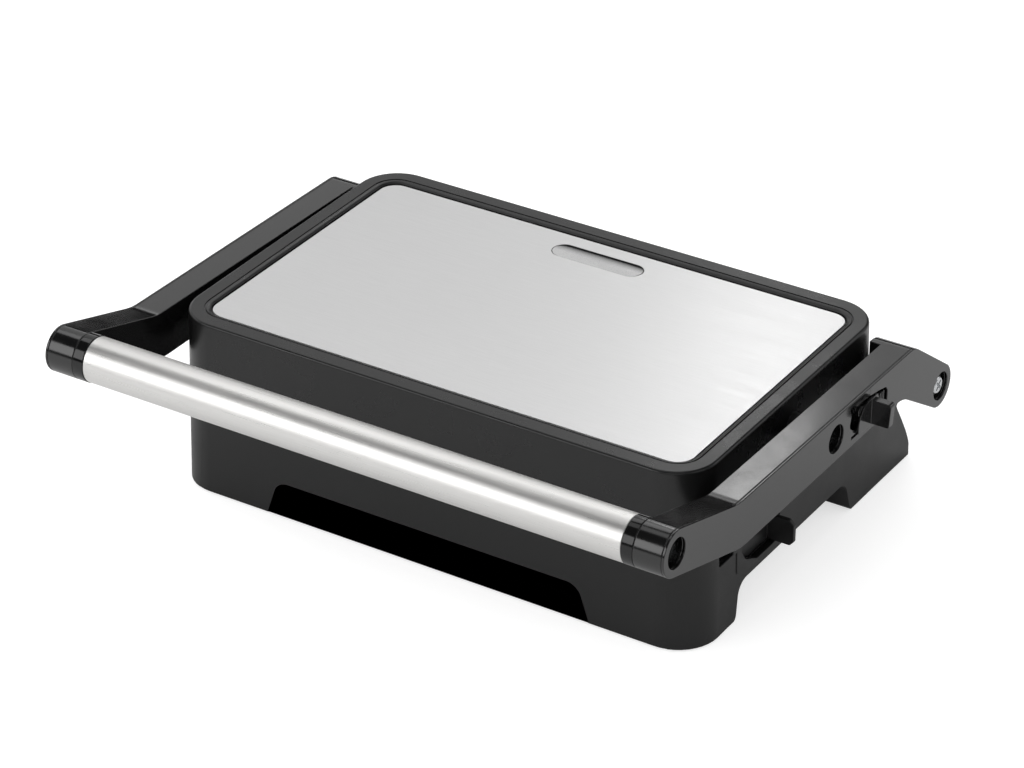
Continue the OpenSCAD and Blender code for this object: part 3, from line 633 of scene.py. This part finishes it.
# How bright the floor's own glow and the sky are to each kind of ray
FLOOR = {"seen": 0.6, "mirrored": 0.03, "diffuse": 0.3}
SKY = {"seen": 0.97, "mirrored": 0.02, "diffuse": 0.85}


def per_ray(tree, levels):
    """A socket that gives camera rays, mirrored rays and all others their own level."""
    path = tree.nodes.new("ShaderNodeLightPath")
    level = levels["diffuse"]
    for ray, name in (("Is Glossy Ray", "mirrored"), ("Is Camera Ray", "seen")):
        choice = tree.nodes.new("ShaderNodeMix")
        tree.links.new(path.outputs[ray], choice.inputs["Factor"])
        if isinstance(level, bpy.types.NodeSocket):
            tree.links.new(level, choice.inputs["A"])
        else:
            choice.inputs["A"].default_value = level
        choice.inputs["B"].default_value = levels[name]
        level = choice.outputs["Result"]
    return level


def softbox(name, azimuth, elevation, distance, width, height, radiance):
    light = bpy.data.lights.new(name, "AREA")
    light.shape = "RECTANGLE"
    light.size = width
    light.size_y = height
    light.energy = radiance * math.pi * width * height
    obj = bpy.data.objects.new(name, light)
    bpy.context.scene.collection.objects.link(obj)
    a, e = math.radians(azimuth), math.radians(elevation)
    away = Vector((math.sin(a) * math.cos(e), math.cos(a) * math.cos(e), math.sin(e)))
    obj.location = away * distance + Vector((0, 0, lid_top * MM))
    obj.rotation_mode = "QUATERNION"
    obj.rotation_quaternion = away.to_track_quat("Z", "Y")


def floor():
    reach, low = 8, -0.05 * MM
    corners = [(-reach, -reach, low), (reach, -reach, low), (reach, reach, low), (-reach, reach, low)]
    mesh = bpy.data.meshes.new("floor")
    mesh.from_pydata(corners, [], [(0, 1, 2, 3)])
    obj = bpy.data.objects.new("floor", mesh)
    bpy.context.scene.collection.objects.link(obj)
    look = Look("floor_paper", Specular_IOR_Level=0.1, Emission_Color=(1, 1, 1, 1))
    look.put(look.shader.inputs["Emission Strength"], per_ray(look.tree, FLOOR))
    mesh.materials.append(look.done(look.blend(look.noise(3), grey(0.55), grey(0.57)),
                                    look.span(look.noise(40), 0.8, 0.9)))


def sky():
    """Pale where it is seen, dim where it is mirrored, and bright enough to light the floor."""
    world = bpy.data.worlds.new("studio")
    bpy.context.scene.world = world
    world.use_nodes = True
    tree = world.node_tree
    back = tree.nodes["Background"]
    back.inputs["Color"].default_value = (1, 1, 1, 1)
    tree.links.new(per_ray(tree, SKY), back.inputs["Strength"])


def camera():
    azimuth, elevation = math.radians(32.22), math.radians(30.35)
    lens = bpy.data.cameras.new("camera")
    lens.lens = 134.47
    lens.sensor_width = 36
    lens.clip_start, lens.clip_end = 0.05, 50
    obj = bpy.data.objects.new("camera", lens)
    bpy.context.scene.collection.objects.link(obj)
    obj.location = at(743.8, -1192.9, 871.7)
    back = Vector((math.sin(azimuth) * math.cos(elevation), -math.cos(azimuth) * math.cos(elevation),
                   math.sin(elevation)))
    obj.rotation_mode = "QUATERNION"
    obj.rotation_quaternion = (-back).to_track_quat("-Z", "Y")
    bpy.context.scene.camera = obj


for box in SOFTBOXES:
    softbox(*box)
floor()
sky()
camera()
bpy.context.scene.view_settings.view_transform = "Standard"

bpy.context.view_layer.update()
